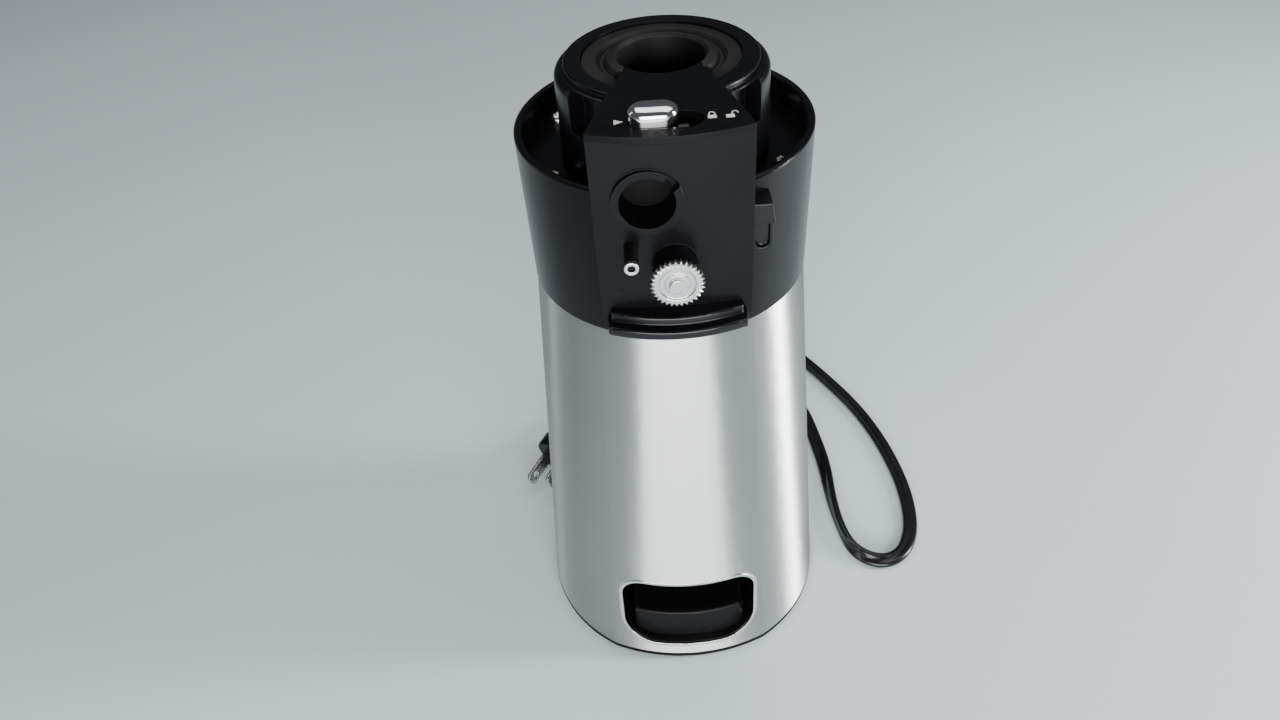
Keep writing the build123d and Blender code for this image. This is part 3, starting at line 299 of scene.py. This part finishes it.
def loft(shape, place, outlines, closed=False):
    """Extrude each (height, points) outline to the next; a closed row ends where it began."""
    rows = [[place @ Vector((*point, height)) for point in points] for height, points in outlines]
    first = ring = [shape.verts.new(corner) for corner in rows[0]]
    edges = [shape.edges.new(pair) for pair in zip(ring, ring[1:] + ring[:1])]
    if not closed:
        bmesh.ops.contextual_create(shape, geom=edges)
    for row in rows[1:] + rows[:1] if closed else rows[1:]:
        made = set(bmesh.ops.extrude_edge_only(shape, edges=edges)["geom"])
        ring = [pulled_out(corner, made) for corner in ring]
        edges = [shape.edges.get(pair) for pair in zip(ring, ring[1:] + ring[:1])]
        for corner, end in zip(ring, row):
            corner.co = end
    if closed:
        bmesh.ops.weld_verts(shape, targetmap=dict(zip(ring, first)))
    else:
        bmesh.ops.contextual_create(shape, geom=edges)


def round_points(radius_at):
    """Points round an axis, whose radius depends on their angle."""
    count = 32
    turns = [2 * pi * index / count for index in range(count)]
    return [(radius_at(turn) * cos(turn), radius_at(turn) * sin(turn)) for turn in turns]


def circle(radius):
    return round_points(lambda turn: radius)


def rounded(width, height, corner, steps=5):
    """A rectangle with rounded corners."""
    points = []
    for quarter, (side, end) in enumerate(((1, 1), (-1, 1), (-1, -1), (1, -1))):
        for step in range(steps + 1):
            turn = (quarter + step / steps) * pi / 2
            x = side * (width / 2 - corner) + corner * cos(turn)
            points.append((x, end * (height / 2 - corner) + corner * sin(turn)))
    return points


def cross(arm, half):
    """The outline of a cross recess, with arms of a given length and half width."""

    def reach(turn):
        ways = [(abs(cos(turn)), abs(sin(turn))), (abs(sin(turn)), abs(cos(turn)))]
        return max(min(arm / max(a, 1e-6), half / max(b, 1e-6)) for a, b in ways)

    return round_points(reach)


def turned(shape, place, profile):
    """A solid of revolution from its (height, radius) profile."""
    loft(shape, place, [(height, circle(radius)) for height, radius in profile])


def soften(shape, width, angle=35, segments=2):
    """Bevel the edges that are sharper than an angle."""
    shape.normal_update()
    edges = [edge for edge in shape.edges if edge.calc_face_angle(0) > radians(angle)]
    bmesh.ops.bevel(
        shape, geom=edges, offset=width * MM, offset_type="OFFSET", segments=segments, profile=0.5,
        affect="EDGES", material=-1, clamp_overlap=True,
    )


def finished(name, shape, finish, body, replaced, smooth=40):
    """Close a shape, and make it a piece that stands for some CAD nodes."""
    bmesh.ops.recalc_face_normals(shape, faces=shape.faces)
    mesh = bpy.data.meshes.new(name)
    shape.to_mesh(mesh)
    shape.free()
    return piece_of(name, mesh, finish, body, replaced, smooth)


# ---- Screws ------------------------------------------------------------------------------


def screw(shape, place, head, shank, length):
    """A pan-head screw with a cross recess and a helical thread, its seat at height 0."""
    pitch, depth, point, plain = 1.25, 0.28, 2.5, 0.6

    def thread(height):
        fade = min(1, (height + length) / point)

        def radius(turn):
            phase = (height / pitch - turn / (2 * pi)) % 1
            return shank * (0.35 + 0.65 * fade) - depth * abs(2 * phase - 1)

        return round_points(radius)

    rise = pitch / 6
    heights = [step * rise - length for step in range(round((length - plain) / rise))]
    outlines = [(height, thread(height)) for height in heights]
    outlines.append((0, circle(shank - 0.1)))
    for height, share in ((0, 1), (0.8, 1), (1.3, 0.93), (1.8, 0.8), (2.15, 0.6)):
        outlines.append((height, circle(head * share)))
    outlines += [(2.2, cross(0.52 * head, 0.16 * head)), (1.1, cross(0.34 * head, 0.1 * head))]
    loft(shape, place, outlines)


def make_screws(name, node, facing, head, shank, length):
    """One screw at each of the four posts, with its head facing up (1) or down (-1)."""
    posts_apart, posts_deep = 72.4, 40.2
    x, y, tip = spot(node, z=(1 - facing) / 2)
    shape = bmesh.new()
    for end in (-0.5, 0.5):
        for side in (-0.5, 0.5):
            foot = (x + side * posts_apart, y + end * posts_deep, tip + facing * length)
            screw(shape, seat(foot, (1, 0, 0), (0, 0, facing)), head, shank, length)
    finished(name, shape, "zinc_screw", "opener", [node])


make_screws("deck_screw_set", "deck_screws", 1, head=2.7, shank=1.5, length=14)
make_screws("base_screw_set", "base_screws", -1, head=2.9, shank=1.5, length=10)


# ---- Drive wheel and release button ------------------------------------------------------


def make_drive_wheel():
    """The toothed wheel that turns the can: bevelled saw teeth and a dished face."""
    teeth, radius, bore = 31, 8.25, 2.52

    def saw(inset):
        points = []
        for tooth in range(teeth):
            for part_way, depth in ((0.0, 0), (0.3, 1.0), (0.55, 0.9)):
                turn = 2 * pi * (tooth + part_way) / teeth
                reach = radius - depth - inset
                points.append((reach * cos(turn), reach * sin(turn)))
        return points

    def ring(reach):
        return [Vector(point).normalized() * reach for point in saw(0)]

    shape = bmesh.new()
    outlines = [(0.0, ring(bore)), (0.0, saw(0.6)), (0.4, saw(0)), (1.8, saw(0)), (2.2, saw(0.6))]
    for height, reach in ((2.2, 5.7), (1.75, 5.2), (1.75, 3.9), (2.15, 3.6), (2.2, 3.4), (2.2, bore)):
        outlines.append((height, ring(reach)))
    axis_x, _, axis_z = spot("front_bush")
    back = spot("drive_wheel", y=1)[1]
    loft(shape, seat((axis_x, back, axis_z), (1, 0, 0), (0, -1, 0)), outlines, closed=True)
    finished(
        "toothed_drive_wheel", shape, "bright_steel", "drive_spindle", ["drive_wheel"], smooth=25
    )


def make_button():
    """The domed, chromed release button."""
    length, width = 14.3, 9.2
    corner = width / 2 - 0.01
    dome = [(0, 0), (6.4, 0), (6.9, 0.08), (7.4, 0.3), (7.9, 0.75), (8.3, 1.4)]
    dome += [(8.6, 2.2), (8.75, 3.2), (8.8, 4.2)]
    outlines = []
    for height, inset in dome:
        outlines.append((height, rounded(length - 2 * inset, width - 2 * inset, corner - inset)))
    shape = bmesh.new()
    loft(shape, seat(spot("release_button", z=0), (1, 0, 0), (0, 0, 1)), outlines)
    finished("button_cap", shape, "polished_chrome", "button", ["release_button"], smooth=50)


def arc(middle, radius, start, end, steps=8):
    turns = [radians(start + (end - start) * step / steps) for step in range(steps + 1)]
    return [(middle[0] + radius * cos(turn), middle[1] + radius * sin(turn)) for turn in turns]


def make_lid_marks():
    """Printed marks on the lid: an arrowhead, a shut padlock and an open one."""
    sunk, depth, outer, inner = 0.02, 0.06, 0.95, 0.6
    lid = spot("head_housing", z=1)[2]
    marks = [[(-15.3, -44.6), (-12.7, -43.2), (-15.3, -41.8)]]
    for x, y, swung, free_foot in ((12.0, -43.4, 0, 0.8), (17.0, -43.6, 1.44, 1.5)):
        body_top, free_end, middle = y + 0.8, y + free_foot, x + swung
        marks.append([(x - 1.2, y - 1), (x + 1.2, y - 1), (x + 1.2, body_top), (x - 1.2, body_top)])
        marks.append([
            (middle + outer, free_end), *arc((middle, y + 1.9), outer, 0, 180),
            (middle - outer, body_top),
            (middle - inner, body_top), *arc((middle, y + 1.9), inner, 180, 0),
            (middle + inner, free_end),
        ])
    shape = bmesh.new()
    for points in marks:
        loft(shape, seat((0, 0, lid - sunk), (1, 0, 0), (0, 0, 1)), [(0, points), (depth, points)])
    finished("lid_marks", shape, "white_print", "opener", [])


make_drive_wheel()
make_button()
make_lid_marks()


# ---- Springs and windings ----------------------------------------------------------------


def coil_spring(place, reach, wire, height, turns):
    """A helix of round wire that starts at height 0, with its two ends closed up flat."""
    closed_up, steps_per_turn = 0.75, 20
    section = Matrix.Translation((reach, 0, wire)) @ Matrix.Rotation(pi / 2, 4, "X")
    shape = bmesh.new()
    bmesh.ops.create_circle(shape, cap_ends=True, segments=8, radius=wire, matrix=section)
    end = shape.verts[:] + shape.edges[:] + shape.faces[:]
    climbing = (turns - 2 * closed_up, height - 2 * wire)
    for coils, climb in ((closed_up, 0), climbing, (closed_up, 0)):
        steps = round(steps_per_turn * coils)
        end = bmesh.ops.spin(
            shape, geom=end, cent=(0, 0, 0), axis=(0, 0, 1), dvec=(0, 0, climb / steps),
            angle=2 * pi * coils, steps=steps, use_merge=False, use_duplicate=False,
        )["geom_last"]
    bmesh.ops.transform(shape, matrix=place, verts=shape.verts)
    return shape


def make_springs():
    """The latch's return spring, and the switch's spring under its plunger."""
    place = seat(spot("latch_spring", x=0), (0, 1, 0), (1, 0, 0))
    latch = coil_spring(place, reach=1.25, wire=0.22, height=4.7, turns=6)
    finished("latch_coil_spring", latch, "bright_steel", "opener", ["latch_spring"])
    foot = spot("switch_spring", z=0)
    switch = coil_spring(seat(foot, (1, 0, 0), (0, 0, 1)), reach=1.15, wire=0.2, height=3.9, turns=5)
    spring = finished("switch_coil_spring", switch, "bright_steel", "opener", ["switch_spring"])
    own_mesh(spring)


def make_windings():
    """The motor's copper winding, wire beside wire, round its bobbin."""
    wires, width, groove = 33, 23.1, 0.36
    bobbin = rounded(19.84, 11.84, 0.4)
    outlines = []
    for step in range(2 * wires + 1):
        inset = groove * (step % 2 == 0)
        across = width * (step / (2 * wires) - 0.5)
        outlines.append((across, rounded(28 - inset, 20 - inset, 3 - inset / 2)))
    outlines += [(width / 2, bobbin), (-width / 2, bobbin)]
    shape = bmesh.new()
    loft(shape, seat(spot("motor_coil"), (0, 1, 0), (1, 0, 0)), outlines, closed=True)
    finished("motor_windings", shape, "copper_wire", "opener", ["motor_coil"], smooth=60)


make_springs()
make_windings()


# ---- Plug and cord guard -----------------------------------------------------------------

PLUG_FACE = (-61.1, 56.6, 11.6)
PLUG_TOWARDS = Vector((-0.49, -0.865, -0.1)).normalized()
PLUG_ROLL = 19  # degrees, about the way it points, from lying level
PLUG_LEVEL = Vector((0, 0, 1)).cross(PLUG_TOWARDS)
PLUG_ACROSS = (Matrix.Rotation(radians(PLUG_ROLL), 3, PLUG_TOWARDS) @ PLUG_LEVEL).normalized()
PLUG_UP = PLUG_TOWARDS.cross(PLUG_ACROSS)


def make_plug():
    """The moulded plug: a block with a ridged grip that runs down to a ribbed neck."""
    sizes = [(0, 16.6, 19.6, 4.4), (-0.5, 17.6, 20.6, 4.8)]
    sizes += [(-1.4, 18, 21, 5), (-8, 18, 21, 5), (-8.8, 17.6, 20.5, 5)]
    for step in range(17):
        down = step / 16
        ridge = 0.5 * (step % 2)
        width, height = 17.2 - 7 * down - ridge, 20.0 - 9.6 * down - ridge
        sizes.append((-9.6 - 17 * down, width, height, 4.9 - 0.5 * down))
    for step in range(11):
        groove = 1.5 * (step % 2)
        shrunk = groove + 0.1 * step
        sizes.append((-27 - step, 9.6 - shrunk, 8.8 - shrunk, 3.6 - groove / 2))
    shape = bmesh.new()
    outlines = [(height, rounded(across, up, corner)) for height, across, up, corner in sizes]
    loft(shape, seat(PLUG_FACE, PLUG_ACROSS, PLUG_TOWARDS), outlines)
    return finished("mains_plug", shape, "gloss_black", "opener", ["plug_body"], smooth=28)


def holed(outline, middle, radius, count=24):
    """An outline and a round hole in it as two loops of points that match one to one."""
    centre = Vector(middle)
    corners = [Vector(point) - centre for point in outline]
    turns = {atan2(corner.y, corner.x) % (2 * pi) for corner in corners}
    turns |= {2 * pi * (index + 0.37) / count for index in range(count)}
    outer, hole = [], []
    for turn in sorted(turns):
        way = Vector((cos(turn), sin(turn)))
        for start, end in zip(corners, corners[1:] + corners[:1]):
            side = end - start
            slant = way.cross(side)
            if abs(slant) < 1e-9:
                continue
            reach, share = start.cross(side) / slant, start.cross(way) / slant
            if reach > 0 and -1e-6 <= share <= 1 + 1e-6:
                outer.append(centre + way * reach)
                hole.append(centre + way * radius)
                break
    return outer, hole


def make_blades():
    """Two flat nickel blades, one a little wider, each with its hole and eased edges."""
    length, tip, gap, thick = 17, 1.4, 12.7, 1.5
    shape = bmesh.new()
    for side, width in ((-1, 6.35), (1, 7.9)):
        half = width / 2
        outline = [(-half, -1), (half, -1), (half, length - tip), (half - tip, length)]
        outline += [(tip - half, length), (-half, length - tip)]
        outer, hole = holed(outline, (0, 12), 1.6)
        near, far = (side * gap + thick) / 2, (side * gap - thick) / 2
        faces = [(near, outer), (near, hole), (far, hole), (far, outer)]
        loft(shape, seat(PLUG_FACE, PLUG_UP, PLUG_ACROSS), faces, closed=True)
    soften(shape, 0.16)
    return finished("plug_blade_pair", shape, "nickel_blade", "opener", ["plug_blades"])


def make_guard():
    """The rubber guard where the cord leaves the sleeve, ringed so that it can bend."""
    profile = [(51.5, 5.2), (51.6, 5.6), (54, 5.6), (54, 4.95)]
    profile += [(61.5, 4.95), (62.3, 5.1), (62.8, 5.0)]
    for step in range(8):
        foot = 63.2 + 2.4 * step
        reach = 4.95 - 0.035 * (foot - 61)
        groove = reach - 0.85
        profile += [(foot, reach), (foot + 0.25, groove), (foot + 0.95, groove), (foot + 1.2, reach)]
    profile += [(83.2, 4.15), (83.8, 4.05), (84, 3.8)]
    axis_x, _, axis_z = spot("cord_strain_relief")
    shape = bmesh.new()
    turned(shape, seat((axis_x, 0, axis_z), (1, 0, 0), (0, 1, 0)), profile)
    return finished("cord_guard", shape, "gloss_black", "opener", ["cord_strain_relief"], smooth=35)


plug, blades, guard = make_plug(), make_blades(), make_guard()


# ---- Cord --------------------------------------------------------------------------------

# Where the cord's middle passes, in millimetres, and how far its flat side is turned up, in degrees
FLAT = 1.95
CORD_ROUTE = [
    (16, 84, 9, 0),
    (16, 98, 9, 0),
    (21, 112, 5.6, 0),
    (34, 122, FLAT, 0),
    (51, 121, FLAT, 0),
    (64, 108, FLAT, 0),
    (71.5, 90, FLAT, 0),
    (74, 72, FLAT, 0),
    (76, 48, 2.6, 30),
    (75, 24, 3.6, 70),
    (76.5, 5, 3.8, 90),
    (80, -8, 3.7, 65),
    (91, -14.5, 2.9, 30),
    (102, -10, FLAT, 0),
    (109, 2, FLAT, 0),
    (112, 18, FLAT, 0),
    (112, 38, FLAT, 0),
    (108, 64, FLAT, 0),
    (100, 90, FLAT, 0),
    (87, 116, FLAT, 0),
    (72, 141, FLAT, 0),
    (61, 168, FLAT, 0),
    (54, 196, FLAT, 0),
    (38, 217, FLAT, 0),
    (12, 225, FLAT, 0),
    (-12, 215, FLAT, 0),
    (-24, 193, FLAT, 0),
    (-26, 168, FLAT, 0),
    (-22.5, 146, 4.6, 0),
    (-24, 124, 10.5, 8),
    (-35.1, 102.5, 16.9, 15),
    (-42.95, 88.63, 15.3, 18),
]
CORD_WIDTH = 6.8


def cord_curve(route):
    """The cord's smooth line: a NURBS spline with the route's places as its control points."""
    curve = bpy.data.curves.new("cord_line", "CURVE")
    curve.dimensions = "3D"
    curve.twist_mode = "Z_UP"
    spline = curve.splines.new("NURBS")
    spline.points.add(len(route) - 1)
    for point, (x, y, z, lean) in zip(spline.points, route):
        point.co = (x * MM, y * MM, z * MM, 1)
        point.tilt = radians(lean)
    spline.order_u = 3
    spline.use_endpoint_u = True
    spline.resolution_u = 14
    return curve


def twin_section():
    """The outline of a flat twin cord: two round cores joined by a thinner web."""
    half = CORD_WIDTH / 4
    outline = []
    for side in (1, -1):
        for step in range(9):
            turn = radians(-124 + 31 * step)
            outline.append((side * (half + half * cos(turn)), side * half * sin(turn)))
    curve = bpy.data.curves.new("cord_section", "CURVE")
    spline = curve.splines.new("POLY")
    spline.points.add(len(outline) - 1)
    for point, (across, up) in zip(spline.points, outline):
        point.co = (across * MM, up * MM, 0, 1)
    spline.use_cyclic_u = True
    section = bpy.data.objects.new("cord_section", curve)
    bpy.context.scene.collection.objects.link(section)
    return section


def make_cord():
    """The mains cord, as a mesh that follows its route's spline."""
    curve = cord_curve(CORD_ROUTE)
    line = bpy.data.objects.new("cord_line", curve)
    bpy.context.scene.collection.objects.link(line)
    path = [vertex.co.copy() for vertex in bpy.data.meshes.new_from_object(line).vertices]
    section = twin_section()
    curve.bevel_mode = "OBJECT"
    curve.bevel_object = section
    curve.use_fill_caps = True
    bpy.context.view_layer.update()
    shown = line.evaluated_get(bpy.context.evaluated_depsgraph_get())
    mesh = bpy.data.meshes.new_from_object(shown)
    mesh.name = "mains_cord"
    bpy.data.objects.remove(line)
    bpy.data.objects.remove(section)
    return piece_of("mains_cord", mesh, "cord_vinyl", "opener", ["power_cord"], smooth=60), path


cord, cord_path = make_cord()


# ---- Floor and light ---------------------------------------------------------------------


def make_floor():
    mesh = bpy.data.meshes.new("floor")
    plane = bmesh.new()
    bmesh.ops.create_grid(plane, x_segments=1, y_segments=1, size=3)
    plane.to_mesh(mesh)
    plane.free()
    floor = bpy.data.objects.new("floor", mesh)
    bpy.context.scene.collection.objects.link(floor)
    finish = Finish("worktop", Roughness=0.6)
    finish.shader.inputs["Base Color"].default_value = (0.50, 0.57, 0.60, 1)
    mesh.materials.append(finish.material)


def softbox(name, place, target, size, power, colour=(1, 1, 1)):
    """A rectangular light that faces a target."""
    data = bpy.data.lights.new(name, "AREA")
    data.shape = "RECTANGLE"
    data.size, data.size_y = size
    data.energy = power
    data.color = colour
    light = bpy.data.objects.new(name, data)
    bpy.context.scene.collection.objects.link(light)
    light.location = place
    light.rotation_euler = (Vector(target) - Vector(place)).to_track_quat("-Z", "Y").to_euler()


def set_world(colour, strength):
    """The dim, even light from all round."""
    world = bpy.data.worlds.new("studio")
    bpy.context.scene.world = world
    world.use_nodes = True
    background = world.node_tree.nodes["Background"]
    background.inputs["Color"].default_value = (*colour, 1)
    background.inputs["Strength"].default_value = strength


make_floor()
softbox("front_box", (0.0, -1.0, 0.36), (0, 0, 0.2), (1.0, 0.55), 26)
softbox("right_box", (0.95, -0.05, 0.32), (0, 0, 0.12), (0.16, 0.62), 17)
softbox("left_box", (-0.95, 0.3, 0.5), (0, 0, 0.18), (0.12, 0.8), 0.7)
softbox("top_box", (0.1, 0.35, 1.4), (0, 0.05, 0), (1.6, 1.0), 13)
set_world((0.55, 0.6, 0.65), 0.16)
